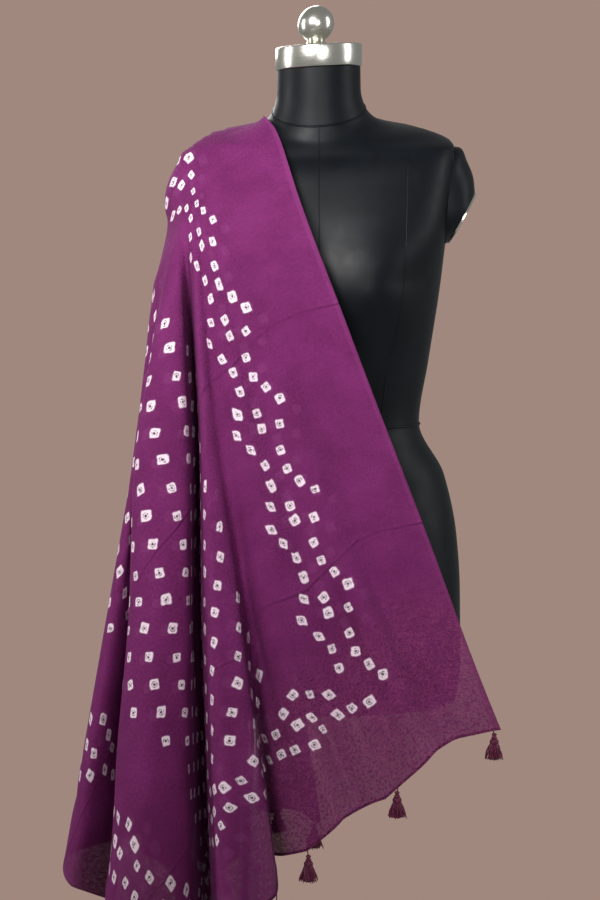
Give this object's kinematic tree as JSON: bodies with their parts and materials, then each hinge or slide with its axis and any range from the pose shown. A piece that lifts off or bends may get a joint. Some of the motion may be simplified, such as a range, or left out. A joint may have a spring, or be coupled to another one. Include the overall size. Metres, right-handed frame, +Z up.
{
  "type": "dupatta stole on a dress form",
  "caption": "Thin tie-dyed stole with tasselled ends, laid over a shoulder of a black limbless dress form with a chrome neck band, on a pole stand with a round foot.",
  "frame": {"origin": "centre of the round foot's underside, on the floor", "axes": "+Z up along the pole, the form's front faces -Y, +X is to the right of someone who looks at its front"},
  "size_m": [0.5741, 0.4942, 1.6579],
  "materials": {
    "stole_cloth": "thin plain weave, see-through, with undyed dots",
    "tassel_thread": "soft twisted thread",
    "form_cover": "smooth black cover with a soft sheen",
    "form_metal": "polished",
    "stand_metal": "polished"
  },
  "bodies": {
    "root": {"form_torso": "form_cover", "form_arm_plate": "form_metal", "form_neck": "form_cover", "form_neck_band": "form_metal", "form_finial": "form_metal", "stand_base": "stand_metal", "stand_socket": "stand_metal", "stand_pole": "stand_metal", "stole_front": "stole_cloth", "stole_back": "stole_cloth", "tassel_front_1": "tassel_thread", "tassel_front_2": "tassel_thread", "tassel_front_3": "tassel_thread", "tassel_front_4": "tassel_thread", "tassel_front_5": "tassel_thread", "tassel_front_6": "tassel_thread", "tassel_front_7": "tassel_thread", "tassel_back_1": "tassel_thread", "tassel_back_2": "tassel_thread", "tassel_back_3": "tassel_thread", "tassel_back_4": "tassel_thread", "tassel_back_5": "tassel_thread", "tassel_back_6": "tassel_thread", "tassel_back_7": "tassel_thread"}
  },
  "joints": []
}
